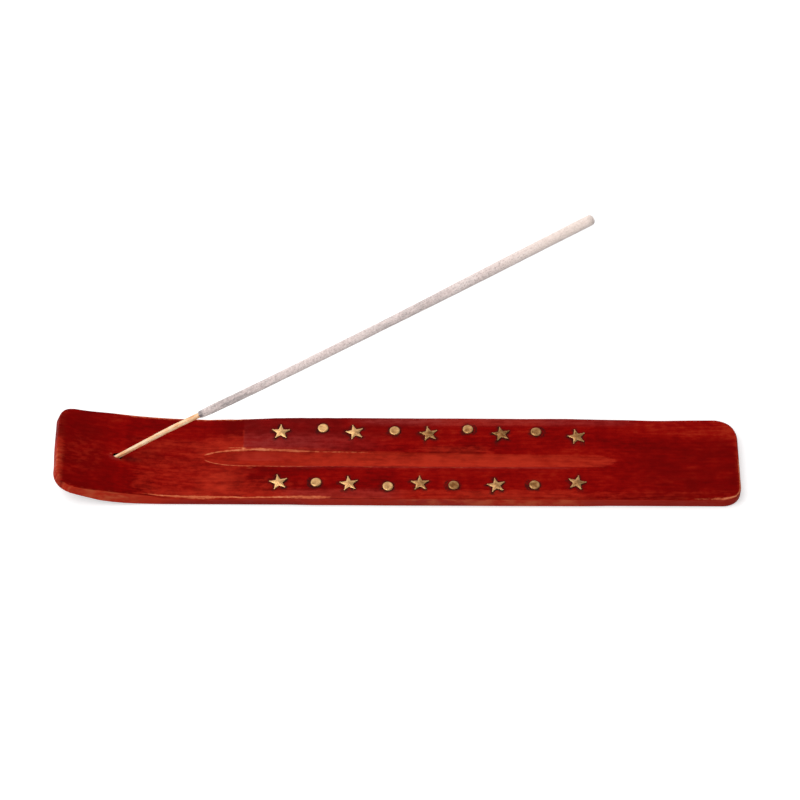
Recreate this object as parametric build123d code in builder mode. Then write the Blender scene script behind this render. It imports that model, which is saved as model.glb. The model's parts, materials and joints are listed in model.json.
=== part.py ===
from build123d import *
import os
from math import asin, cos, radians, sin, sqrt

# Incense stick holder: a ski-shaped wooden ash catcher with brass stars and dots, and one stick.
# Millimetres. +X runs from the swept-up toe to the heel, +Y to the back row of inlays, +Z up.
# The origin is the middle of the footprint, on the surface that the holder stands on.

# Board
LENGTH = 254.0
WIDTH = 38.0
BED_THICKNESS = 4.5  # the flat stretch that carries the inlays
TOE_FRONT_CORNER_RADIUS = 9.0  # each corner was rounded by eye
TOE_BACK_CORNER_RADIUS = 6.5
HEEL_FRONT_CORNER_RADIUS = 7.0
HEEL_BACK_CORNER_RADIUS = 9.0
TOP_ARRIS_RADIUS = 1.0
SOLE_ARRIS_RADIUS = 0.7

# Swept-up toe: the sole curves up to the tip, and a long cove is scooped out of the top
TOE_LIFT = 7.8  # height of the sole's tip above the table
TOE_THICKNESS = 4.4  # measured square to the board, along the end cut
SOLE_SWEEP = 40.5  # stretch of the sole that leaves the table
COVE_REACH = 56.5  # from the tip to the lowest point of the cove
COVE_DIP = 0.85  # how far the cove goes below the bed
SHOULDER_RADIUS = 160.0  # eases the cove into the bed

# Ash groove: cut by a round-nosed wheel that plunges, runs along the bed and lifts out
GROOVE_TOE_INSET = 68.0  # from the tip to where the wheel is fully down
GROOVE_HEEL_INSET = 56.0  # from the heel to where it starts to lift
GROOVE_NOSE_RADIUS = 4.9
GROOVE_WHEEL_RADIUS = 65.0
GROOVE_TOE_DEPTH = 2.1
GROOVE_HEEL_DEPTH = 0.85
GROOVE_TOE_DRIFT = 0.0  # the groove was run by eye, a little off the centre line
GROOVE_HEEL_DRIFT = -1.7
GROOVE_RUN_OUT_ANGLE = 30.0  # degrees of the wheel's rim that leave the wood at each end

# Stick hole, blind, slanted towards the heel
HOLE_TOE_INSET = 23.1
HOLE_DRIFT = -1.5  # off the centre line, towards the front
HOLE_FLOOR = 0.8  # wood left between the hole and the sole
HOLE_CLEARANCE = 0.45  # round the splint
STICK_LEAN_SHARE = 0.65  # of the clearance, by which the stick leans towards the front
STICK_TILT = 37.9  # degrees above the table

# Incense stick: a bamboo splint with a rolled paste coating
STICK_LENGTH = 219.9  # foot to tip
SPLINT_RADIUS = 1.0
SPLINT_FOOT_CHAMFER = 0.2
SPLINT_BARE_LENGTH = 45.2  # from the foot to where the coating starts
SPLINT_END_COVER = 3.0  # coating past the splint's upper end
COATING_LIP_RADIUS = 1.2  # thin lower edge of the coating
COATING_TAPER = 7.0  # length over which it thickens
COATING_RADIUS = 1.4
COATING_HEAD_RADIUS = 1.6  # the coating is a little fatter near the tip
COATING_HEAD_LENGTH = 70.0  # from the tip to where it is at its fattest
COATING_SWELL = 30.0  # length over which it fattens
COATING_TIP_RADIUS = 0.9  # rounding at the tip

# Brass inlays, in a back and a front row of stars with a dot between each two
STAR_COUNT = 5
STAR_POINTS = 5
STAR_TOE_INSET = 83.0
STAR_HEEL_INSET = 60.5
ROW_INSET = 6.9  # from the long edge to the row's line
STAR_RADIUS = 3.85  # to the points before they are blunted
STAR_WAIST_SHARE = 0.4  # of the star's radius
STAR_BLUNT_SHARE = 0.16  # of each edge, nipped off at the point
STAR_CHAMFER = 0.16  # filed upper edge
STAR_CHAMFER_SHARE = 0.6  # of the blunted point's width that the filed edge may take
DOT_RADIUS = 2.0
DOT_CHAMFER = 0.28  # filed rim of its flat head
INLAY_SUNK = 0.6
INLAY_PROUD = 0.5
INLAY_CLEARANCE = 0.08

# The inlays were set by eye: how far each lies off its regular place, as shares of the star pitch
BACK_STAR_DRIFT_SHARES = ((0.01, -0.01), (0.01, -0.01), (0.01, -0.03), (-0.01, -0.03), (0.01, -0.07))
BACK_DOT_DRIFT_SHARES = ((0.08, 0.06), (0.05, 0.02), (0.04, 0.05), (-0.04, 0.01))
FRONT_STAR_DRIFT_SHARES = ((0, 0.01), (-0.06, -0.01), (-0.11, 0), (-0.09, -0.03), (-0.01, 0.02))
FRONT_DOT_DRIFT_SHARES = ((0, 0.01), (-0.04, -0.05), (-0.16, -0.03), (-0.08, -0.02))

# Degrees that each star is turned from pointing straight at the back edge
BACK_STAR_TURNS = (0.0, 15.0, 11.0, 10.5, 13.5)
FRONT_STAR_TURNS = (10.0, 7.0, 2.5, 10.0, -11.5)

OVERRUN = 5.0  # how far cuts reach past the wood
FACING_SHARE = 0.7  # of a face's normal that points straight up or down on the bed and the sole

# Places along the board
toe_x = -LENGTH / 2
heel_x = LENGTH / 2

# Sole: an arc that is tangent to the table and passes through the tip; the end cut is square to it,
# and its lower corner stands out by what the sole's arris takes off, so the rounded tip is at toe_x
sole_radius = (SOLE_SWEEP**2 + TOE_LIFT**2) / (2 * TOE_LIFT)
toe_slope = asin(SOLE_SWEEP / sole_radius)
toe_bottom = Vector(toe_x - SOLE_ARRIS_RADIUS * (sin(toe_slope) + cos(toe_slope) - 1), TOE_LIFT)
toe_top = toe_bottom + Vector(sin(toe_slope), cos(toe_slope)) * TOE_THICKNESS
sole_start_x = toe_bottom.X + SOLE_SWEEP

# Cove: an arc from the tip's upper edge, level at its lowest point, then an easing arc to the bed
cove_low = Vector(toe_x + COVE_REACH, BED_THICKNESS - COVE_DIP)
cove_rise = toe_top.Y - cove_low.Y
cove_radius = ((cove_low.X - toe_top.X) ** 2 + cove_rise**2) / (2 * cove_rise)
cove_centre = cove_low + Vector(0, cove_radius)
both_radii = cove_radius + SHOULDER_RADIUS
shoulder_end = Vector(cove_low.X + sqrt(2 * COVE_DIP * both_radii - COVE_DIP**2), BED_THICKNESS)
shoulder_centre = shoulder_end - Vector(0, SHOULDER_RADIUS)
cove_exit = cove_centre + (shoulder_centre - cove_centre) * (cove_radius / both_radii)

# Stick hole: its mouth is on the cove, and its lowest corner keeps HOLE_FLOOR from the sole's arc
stick_slope = radians(STICK_TILT)
stick_along = Vector(cos(stick_slope), sin(stick_slope))
stick_below = Vector(sin(stick_slope), -cos(stick_slope))
hole_radius = SPLINT_RADIUS + HOLE_CLEARANCE
mouth_x = toe_x + HOLE_TOE_INSET
mouth = Vector(mouth_x, cove_centre.Y - sqrt(cove_radius**2 - (mouth_x - cove_centre.X) ** 2))
sole_centre = Vector(sole_start_x, sole_radius)
corner_offset = mouth + stick_below * hole_radius - sole_centre
corner_along = corner_offset.dot(stick_along)
floor_reach = (sole_radius - HOLE_FLOOR) ** 2 - corner_offset.dot(corner_offset)
hole_depth = corner_along + sqrt(corner_along**2 + floor_reach)
foot = mouth - stick_along * hole_depth
stick_y = HOLE_DRIFT - HOLE_CLEARANCE * STICK_LEAN_SHARE
stick_axis = Axis((foot.X, stick_y, foot.Y), (stick_along.X, 0, stick_along.Y))
stick_plane = Plane(stick_axis.position, x_dir=(0, 1, 0), z_dir=stick_axis.direction)
hole_plane = Plane((foot.X, HOLE_DRIFT, foot.Y), x_dir=(0, 1, 0), z_dir=stick_axis.direction)
coating_plane = Plane(stick_axis.position, x_dir=stick_axis.direction, z_dir=(0, -1, 0))

# Groove: a plane whose X runs along the groove's bottom, so that tilt and drift come out by themselves
groove_start = Vector(toe_x + GROOVE_TOE_INSET, GROOVE_TOE_DRIFT, BED_THICKNESS - GROOVE_TOE_DEPTH)
groove_stop = Vector(heel_x - GROOVE_HEEL_INSET, GROOVE_HEEL_DRIFT, BED_THICKNESS - GROOVE_HEEL_DEPTH)
groove_run = groove_stop - groove_start
groove_side = Vector(0, 0, 1).cross(groove_run).normalized()
groove_start_plane = Plane(groove_start, x_dir=groove_side, z_dir=groove_run)
groove_stop_plane = Plane(groove_stop, x_dir=groove_side, z_dir=groove_run)

# Inlays
inlay_floor = BED_THICKNESS - INLAY_SUNK
inlay_thickness = INLAY_SUNK + INLAY_PROUD
star_pitch = (LENGTH - STAR_TOE_INSET - STAR_HEEL_INSET) / (STAR_COUNT - 1)
row_y = WIDTH / 2 - ROW_INSET


def inlay_planes(side, first_step, drift_shares, turns):
    """Planes on the pocket floors of one row, each turned as its inlay is turned."""
    planes = []
    for index, (drift_x, drift_y) in enumerate(drift_shares):
        x = toe_x + STAR_TOE_INSET + star_pitch * (index + first_step + drift_x)
        y = side * row_y + star_pitch * drift_y
        turn = radians(turns[index])
        planes.append(Plane((x, y, inlay_floor), x_dir=(cos(turn), sin(turn), 0)))
    return planes


no_turns = (0.0,) * (STAR_COUNT - 1)
star_planes = {
    "back": inlay_planes(1, 0, BACK_STAR_DRIFT_SHARES, BACK_STAR_TURNS),
    "front": inlay_planes(-1, 0, FRONT_STAR_DRIFT_SHARES, FRONT_STAR_TURNS),
}
dot_planes = {
    "back": inlay_planes(1, 0.5, BACK_DOT_DRIFT_SHARES, no_turns),
    "front": inlay_planes(-1, 0.5, FRONT_DOT_DRIFT_SHARES, no_turns),
}


def star_outline():
    """Corners of a star with one point towards +Y: two at each blunted point, then one at the waist."""
    half_step = 180 / STAR_POINTS
    point = Vector(0, STAR_RADIUS)
    waist = point * STAR_WAIST_SHARE
    corners = []
    for index in range(STAR_POINTS):
        turn = 2 * half_step * index
        tip = point.rotate(Axis.Z, turn)
        for side in (-half_step, half_step):
            inner = waist.rotate(Axis.Z, turn + side)
            corners.append(tip + (inner - tip) * STAR_BLUNT_SHARE)
        corners.append(inner)
    return corners


star_corners = star_outline()
blunt_width = (star_corners[1] - star_corners[0]).length
star_chamfer = min(STAR_CHAMFER, blunt_width * STAR_CHAMFER_SHARE)


def is_top(face):
    """Whether a face belongs to the bed or the cove."""
    return face.normal_at().Z > FACING_SHARE


def is_sole(face):
    """Whether a face belongs to the sole."""
    return face.normal_at().Z < -FACING_SHARE


def rim_of(faces):
    """Edges that bound a group of faces and aren't shared by two of them."""
    edges = ShapeList(edge for face in faces for edge in face.edges())
    return ShapeList(edge for edge in edges if edges.count(edge) == 1)


os.makedirs("parts", exist_ok=True)

# Ash groove cutter: the nose's circle drawn along the groove, with a turn of the wheel at each end
with BuildPart() as groove_cutter:
    with BuildSketch(groove_start_plane):
        with Locations((0, GROOVE_NOSE_RADIUS)):
            Circle(GROOVE_NOSE_RADIUS)
    extrude(amount=groove_run.length)
    for end_plane, turn in ((groove_start_plane, 1), (groove_stop_plane, -1)):
        wheel_centre = end_plane.from_local_coords((0, GROOVE_WHEEL_RADIUS, 0))
        with BuildSketch(end_plane):
            with Locations((0, GROOVE_NOSE_RADIUS)):
                Circle(GROOVE_NOSE_RADIUS)
        revolve(axis=Axis(wheel_centre, groove_side * turn), revolution_arc=GROOVE_RUN_OUT_ANGLE)

# Wooden tray
with BuildPart() as tray:
    with BuildSketch(Plane.XZ):
        with BuildLine():
            Line((heel_x, 0), (sole_start_x, 0))
            TangentArc((sole_start_x, 0), toe_bottom, tangent=(-1, 0))
            Line(toe_bottom, toe_top)
            cove = ThreePointArc(toe_top, cove_low, cove_exit)
            TangentArc(cove_exit, shoulder_end, tangent=cove % 1)
            Line(shoulder_end, (heel_x, BED_THICKNESS))
            Line((heel_x, BED_THICKNESS), (heel_x, 0))
        make_face()
    extrude(amount=WIDTH / 2, both=True)
    end_cut = Axis((0, 0, 0), (sin(toe_slope), 0, cos(toe_slope)))
    fillet(tray.edges().filter_by(end_cut).sort_by(Axis.Y)[0], radius=TOE_FRONT_CORNER_RADIUS)
    fillet(tray.edges().filter_by(end_cut).sort_by(Axis.Y)[-1], radius=TOE_BACK_CORNER_RADIUS)
    fillet(tray.edges().filter_by(Axis.Z).sort_by(Axis.Y)[0], radius=HEEL_FRONT_CORNER_RADIUS)
    fillet(tray.edges().filter_by(Axis.Z).sort_by(Axis.Y)[-1], radius=HEEL_BACK_CORNER_RADIUS)
    fillet(rim_of(tray.faces().filter_by(is_top)), radius=TOP_ARRIS_RADIUS)
    fillet(rim_of(tray.faces().filter_by(is_sole)), radius=SOLE_ARRIS_RADIUS)
    add(groove_cutter.part, mode=Mode.SUBTRACT)
    with BuildSketch(hole_plane):
        Circle(hole_radius)
    extrude(amount=hole_depth + OVERRUN, mode=Mode.SUBTRACT)
    for pocket_plane in star_planes["back"] + star_planes["front"]:
        with BuildSketch(pocket_plane):
            Polygon(*star_corners, align=None)
            offset(amount=INLAY_CLEARANCE, kind=Kind.INTERSECTION)
    for pocket_plane in dot_planes["back"] + dot_planes["front"]:
        with BuildSketch(pocket_plane):
            Circle(DOT_RADIUS + INLAY_CLEARANCE)
    extrude(amount=INLAY_SUNK + OVERRUN, mode=Mode.SUBTRACT)
tray.part.label = "tray"
export_step(tray.part, "parts/tray.step")

# Brass stars
for row, planes in star_planes.items():
    for number, seat_plane in enumerate(planes, 1):
        with BuildPart() as star:
            with BuildSketch(seat_plane):
                Polygon(*star_corners, align=None)
            extrude(amount=inlay_thickness)
            chamfer(star.faces().sort_by(Axis.Z)[-1].edges(), length=star_chamfer)
        star.part.label = f"{row}_star_{number}"
        export_step(star.part, f"parts/{star.part.label}.step")

# Brass dots: flat-headed studs with a filed rim
for row, planes in dot_planes.items():
    for number, seat_plane in enumerate(planes, 1):
        with BuildPart() as dot:
            with BuildSketch(seat_plane):
                Circle(DOT_RADIUS)
            extrude(amount=inlay_thickness)
            chamfer(dot.faces().sort_by(Axis.Z)[-1].edges(), length=DOT_CHAMFER)
        dot.part.label = f"{row}_dot_{number}"
        export_step(dot.part, f"parts/{dot.part.label}.step")

# Bamboo splint, standing on the floor of the hole
with BuildPart() as splint:
    with BuildSketch(stick_plane):
        Circle(SPLINT_RADIUS)
    extrude(amount=STICK_LENGTH - SPLINT_END_COVER)
    chamfer(splint.faces().sort_by(stick_axis)[0].edges(), length=SPLINT_FOOT_CHAMFER)
splint.part.label = "bamboo_splint"
export_step(splint.part, "parts/bamboo_splint.step")

# Paste coating, rolled on the splint and turned about its axis
splint_end = STICK_LENGTH - SPLINT_END_COVER
head_start = STICK_LENGTH - COATING_HEAD_LENGTH
with BuildPart() as coating:
    with BuildSketch(coating_plane):
        with BuildLine():
            Polyline(
                (STICK_LENGTH, 0),
                (splint_end, 0),
                (splint_end, SPLINT_RADIUS),
                (SPLINT_BARE_LENGTH, SPLINT_RADIUS),
                (SPLINT_BARE_LENGTH, COATING_LIP_RADIUS),
                (SPLINT_BARE_LENGTH + COATING_TAPER, COATING_RADIUS),
                (head_start - COATING_SWELL, COATING_RADIUS),
                (head_start, COATING_HEAD_RADIUS),
                (STICK_LENGTH, COATING_HEAD_RADIUS),
                (STICK_LENGTH, 0),
            )
        make_face()
    revolve(axis=stick_axis)
    fillet(coating.faces().sort_by(stick_axis)[-1].edges(), radius=COATING_TIP_RADIUS)
coating.part.label = "incense_coating"
export_step(coating.part, "parts/incense_coating.step")
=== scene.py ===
"""Looks of the incense stick holder: a dyed wooden ash catcher with brass inlays and one stick.

Metres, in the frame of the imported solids: +X from the swept-up toe to the heel, +Y to the back row of
inlays, +Z up, with the origin in the middle of the footprint. The board's form and the marks on it are worked
out in millimetres.
"""
import json
import logging
import random
from contextlib import contextmanager
from dataclasses import dataclass, field
from enum import Enum
from math import atan2, cos, pi, radians, sin
from typing import Callable, Iterator, Protocol, Sequence

import bmesh
import bpy
import numpy as np
from mathutils import Matrix, Vector, noise
from mathutils.kdtree import KDTree

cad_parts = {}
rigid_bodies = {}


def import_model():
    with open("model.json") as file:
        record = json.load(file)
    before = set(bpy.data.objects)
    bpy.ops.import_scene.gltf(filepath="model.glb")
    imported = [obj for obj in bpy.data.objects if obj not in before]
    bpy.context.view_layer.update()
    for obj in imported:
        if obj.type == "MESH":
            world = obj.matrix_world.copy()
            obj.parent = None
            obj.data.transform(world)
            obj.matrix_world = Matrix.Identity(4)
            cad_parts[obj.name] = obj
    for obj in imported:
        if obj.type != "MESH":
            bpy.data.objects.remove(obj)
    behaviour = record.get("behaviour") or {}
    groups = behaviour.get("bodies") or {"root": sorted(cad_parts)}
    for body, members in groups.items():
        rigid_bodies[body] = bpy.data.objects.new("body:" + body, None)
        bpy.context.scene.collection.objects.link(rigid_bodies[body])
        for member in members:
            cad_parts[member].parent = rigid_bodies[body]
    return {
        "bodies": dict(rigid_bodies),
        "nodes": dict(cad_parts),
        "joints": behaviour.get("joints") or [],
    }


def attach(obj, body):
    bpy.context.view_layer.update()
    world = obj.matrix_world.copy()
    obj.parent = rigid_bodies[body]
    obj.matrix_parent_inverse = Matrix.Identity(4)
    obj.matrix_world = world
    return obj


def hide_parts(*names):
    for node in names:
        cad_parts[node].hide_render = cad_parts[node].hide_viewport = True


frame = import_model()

LOG = logging.getLogger("incense_holder")
MM = 0.001
MERGE = 0.001 * MM
UP = Vector((0, 0, 1))
Array = np.ndarray
Mesh = bpy.types.Mesh
Piece = bpy.types.Object
Material = bpy.types.Material
Socket = bpy.types.NodeSocket
Triple = tuple[float, float, float]
Colour = Triple
Stops = Sequence[tuple[float, Colour]]
Stretch = tuple[float, float, float, float]


class Body(Enum):
    """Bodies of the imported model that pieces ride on."""

    HOLDER = "holder"
    STICK = "stick"


class Slot(Enum):
    """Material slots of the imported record."""

    WOOD = "dyed_wood"
    BRASS = "brass"
    BAMBOO = "bamboo"
    PASTE = "incense_paste"


class Part(Enum):
    """Parts of a mesh that can be selected, by the names of their select modes."""

    CORNER = "VERT"
    EDGE = "EDGE"
    FACE = "FACE"


class Mark(Enum):
    """Point attributes that a piece's maker leaves for its finish to read."""

    WEAR = "wear"
    SCRAPE = "scrape"
    DEPTH = "depth"
    WARMTH = "warmth"
    HAZE = "haze"
    RECESS = "recess"
    END_GRAIN = "end_grain"
    TARNISH = "tarnish"
    SOOT = "soot"


# Bench work: selecting, cutting and finishing meshes


def take_up(piece: Piece) -> None:
    """Makes one piece the active one, and the only one that is selected.

    Args:
        piece: The piece to work on.
    """
    bpy.ops.object.select_all(action="DESELECT")
    piece.select_set(True)
    bpy.context.view_layer.objects.active = piece


@contextmanager
def editing(piece: Piece) -> Iterator[None]:
    """Edit mode on one piece alone, with nothing selected in it at the start.

    Args:
        piece: The mesh object to edit.
    """
    take_up(piece)
    bpy.ops.object.mode_set(mode="EDIT")
    bpy.ops.mesh.select_all(action="DESELECT")
    try:
        yield
    finally:
        bpy.ops.object.mode_set(mode="OBJECT")


def select(piece: Piece, part: Part, test: Callable[..., bool]) -> None:
    """Selects, in edit mode, the parts of a mesh that pass a test and nothing else.

    Args:
        piece: The piece in edit mode.
        part: Whether corners, edges or faces are looked at.
        test: Says whether one of them is wanted.
    """
    bpy.ops.mesh.select_mode(type=part.value)
    bpy.ops.mesh.select_all(action="DESELECT")
    mesh = bmesh.from_edit_mesh(piece.data)
    for element in {Part.CORNER: mesh.verts, Part.EDGE: mesh.edges, Part.FACE: mesh.faces}[part]:
        element.select_set(test(element))
    mesh.select_flush_mode()
    bmesh.update_edit_mesh(piece.data)


def slice_across(piece: Piece, axis: Vector, stations: Sequence[float]) -> None:
    """Cuts the shown faces, in edit mode, by planes square to an axis, and keeps both sides.

    Args:
        piece: The piece in edit mode; not used.
        axis: Direction that the cuts are square to.
        stations: Distances of the cuts along the axis.
    """
    for station in stations:
        bpy.ops.mesh.select_all(action="SELECT")
        bpy.ops.mesh.bisect(plane_co=axis * station, plane_no=axis, threshold=MERGE)


def apply_modifiers(piece: Piece) -> None:
    """Applies a piece's modifiers in their order.

    Args:
        piece: The piece to finish.
    """
    take_up(piece)
    for name in [modifier.name for modifier in piece.modifiers]:
        bpy.ops.object.modifier_apply(modifier=name)


def shade_by_angle(piece: Piece, degrees: float) -> None:
    """Shades a piece smooth, apart from edges sharper than an angle.

    Args:
        piece: The piece to shade.
        degrees: The least angle of an edge that stays sharp.
    """
    take_up(piece)
    bpy.ops.object.shade_smooth_by_angle(angle=radians(degrees))


def rows_of(vectors: bpy.types.bpy_prop_collection, name: str) -> Array:
    """Vectors of a mesh, one row each.

    Args:
        vectors: What holds a vector for each vertex.
        name: What it calls that vector.

    Returns:
        The rows.
    """
    rows = np.empty(len(vectors) * 3, dtype=np.float32)
    vectors.foreach_get(name, rows)
    return rows.reshape(-1, 3).astype(float)


def places_of(mesh: Mesh) -> Array:
    """Vertex places of a mesh, one row each."""
    return rows_of(mesh.vertices, "co")


def normals_of(mesh: Mesh) -> Array:
    """Vertex normals of a mesh, one row each."""
    return rows_of(mesh.vertex_normals, "vector")


def move_to(mesh: Mesh, places: Array) -> None:
    """Moves the vertices of a mesh to new places, one row each."""
    mesh.vertices.foreach_set("co", places.astype(np.float32).ravel())
    mesh.update()


def leave_mark(mesh: Mesh, mark: Mark, values: Array) -> None:
    """Stores one value a vertex, which the finish reads by the mark's name.

    Args:
        mesh: The mesh to mark.
        mark: The attribute to write.
        values: One value for each vertex, from 0 to 1.
    """
    attribute = mesh.attributes.new(mark.value, "FLOAT", "POINT")
    attribute.data.foreach_set("value", np.clip(values, 0, 1).astype(np.float32))


def rise(values: Array, low: float, high: float) -> Array:
    """Smooth step from 0 at low to 1 at high; falls instead where low is the larger."""
    share = np.clip((values - low) / (high - low), 0, 1)
    return share * share * (3 - 2 * share)


def spot(values: Array, centre: float, width: float) -> Array:
    """Bell curve of 1 at its centre."""
    return np.exp(-(((values - centre) / width) ** 2))


def stretch(values: Array, low: float, high: float, soft: float) -> Array:
    """1 between low and high, with ends that fade over a soft length outside them."""
    return rise(values, low - soft, low) * rise(values, high + soft, high)


def along(values: Array, *stretches: Stretch) -> Array:
    """Sum of some stretches, each given as its strength, its two ends and the length of its fades."""
    return sum(strength * stretch(values, low, high, soft) for strength, low, high, soft in stretches)


def rough_field(places: Array, grain: Sequence[float], seed: float) -> Array:
    """Smooth random values from -1 to 1 at some places.

    Args:
        places: Places, one row each.
        grain: Size of the unevenness along X, Y and Z.
        seed: Shifts the field, so that two fields differ.

    Returns:
        One value for each place.
    """
    scaled = places / np.array(grain) + seed
    return np.array([noise.noise(Vector(row)) for row in scaled])


# Finishes

Feed = Socket | Mark | Colour | float


class ShaderGraph:
    """The nodes of a material or a world, with short calls for those that the finishes share."""

    def __init__(self, owner: Material | bpy.types.World, shader: str = "Principled BSDF") -> None:
        """Takes up the nodes of a new material or world.

        Args:
            owner: What the nodes belong to.
            shader: Name of the shader that it starts with.
        """
        owner.use_nodes = True
        self.owner = owner
        self.nodes = owner.node_tree.nodes
        self.links = owner.node_tree.links
        self.shader = self.nodes[shader]
        self.coordinates = self.add("TexCoord", {})
        self.places = self.coordinates["Object"]

    def feed(self, socket: Socket, value: Feed) -> None:
        """Links a socket to another one or to a mark on the piece, or sets its value.

        Args:
            socket: The socket to feed.
            value: What it is fed.
        """
        if isinstance(value, Mark):
            value = self.add("Attribute", {}, attribute_name=value.value)["Fac"]
        if isinstance(value, Socket):
            self.links.new(value, socket)
        elif isinstance(value, tuple) and socket.type == "RGBA":
            socket.default_value = (*value, 1.0)
        else:
            socket.default_value = value

    def add(self, kind: str, inputs: dict[str | int, Feed], **options: object) -> bpy.types.NodeOutputs:
        """Adds a node.

        Args:
            kind: The node's type, without the ShaderNode that all of them start with.
            inputs: What its sockets are fed, by their names or numbers.
            options: The node's own settings.

        Returns:
            The node's outputs.
        """
        node = self.nodes.new(f"ShaderNode{kind}")
        for name, value in options.items():
            setattr(node, name, value)
        for name, value in inputs.items():
            self.feed(node.inputs[name], value)
        return node.outputs

    def set(self, **values: Feed) -> None:
        """Feeds the shader's own sockets, named with _ for a space."""
        for name, value in values.items():
            self.feed(self.shader.inputs[name.replace("_", " ")], value)

    def turn(self, slope: float) -> None:
        """Turns the object coordinates about Y, so that X runs along a line of that slope in degrees."""
        turned = self.add("Mapping", {"Vector": self.places, "Rotation": (0.0, radians(slope), 0.0)})
        self.places = turned["Vector"]

    def scaled(self, scale: Triple) -> Socket:
        """Object coordinates, scaled along X, Y and Z."""
        return self.add("Mapping", {"Vector": self.places, "Scale": scale})["Vector"]

    def noise(self, scale: Triple, detail: float = 3.0, roughness: float = 0.5, twist: float = 0.0) -> Socket:
        """Noise on the object coordinates.

        Args:
            scale: Grains a metre along X, Y and Z.
            detail: Octaves.
            roughness: Share of each finer octave.
            twist: How far the noise distorts itself.

        Returns:
            The noise's value, about 0.5 on the average.
        """
        inputs = {"Vector": self.scaled(scale), "Scale": 1.0, "Detail": detail}
        inputs |= {"Roughness": roughness, "Distortion": twist}
        return self.add("TexNoise", inputs)["Fac"]

    def specks(self, scale: Triple) -> Socket:
        """Distance to the nearest of some scattered points, so many a metre along X, Y and Z."""
        return self.add("TexVoronoi", {"Vector": self.scaled(scale), "Scale": 1.0})["Distance"]

    def span(self, value: Feed, low: float, high: float, bottom: float = 0.0, top: float = 1.0) -> Socket:
        """Smoothly maps a value from low and high to bottom and top, and no further.

        Args:
            value: The value to map.
            low: Value that gives the bottom.
            high: Value that gives the top.
            bottom: Result at low.
            top: Result at high.

        Returns:
            The mapped value.
        """
        inputs = {"Value": value, "From Min": low, "From Max": high, "To Min": bottom, "To Max": top}
        return self.add("MapRange", inputs, interpolation_type="SMOOTHSTEP")["Result"]

    def math(self, operation: str, first: Feed, second: Feed) -> Socket:
        """One sum of two values, kept between 0 and 1."""
        return self.add("Math", {0: first, 1: second}, operation=operation, use_clamp=True)["Value"]

    def ramp(self, value: Feed, stops: Stops) -> Socket:
        """Colour along a few stops.

        Args:
            value: Place along the ramp, from 0 to 1.
            stops: Places and colours.

        Returns:
            The colour.
        """
        node = self.nodes.new("ShaderNodeValToRGB")
        self.feed(node.inputs["Fac"], value)
        elements = node.color_ramp.elements
        while len(elements) < len(stops):
            elements.new(0.5)
        for element, (place, colour) in zip(elements, stops):
            element.position = place
            element.color = (*colour, 1.0)
        return node.outputs["Color"]

    def mix(self, share: Feed, below: Feed, above: Feed) -> Socket:
        """Lays one colour over another by a share from 0 to 1."""
        return self.add("Mix", {"Factor": share, "A": below, "B": above}, data_type="RGBA")["Result"]

    def bump(self, height: Socket, depth: float, below: Socket | None = None) -> Socket:
        """A normal roughened by a height.

        Args:
            height: Height from 0 to 1.
            depth: What a height of 1 measures.
            below: A normal to start from.

        Returns:
            The new normal.
        """
        inputs = {"Strength": 1.0, "Distance": depth, "Height": height}
        if below is not None:
            inputs["Normal"] = below
        return self.add("Bump", inputs)["Normal"]


class Finish(Protocol):
    """What a piece needs of its finish."""

    slot: Slot

    def material(self) -> Material:
        """Makes the material."""


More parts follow.
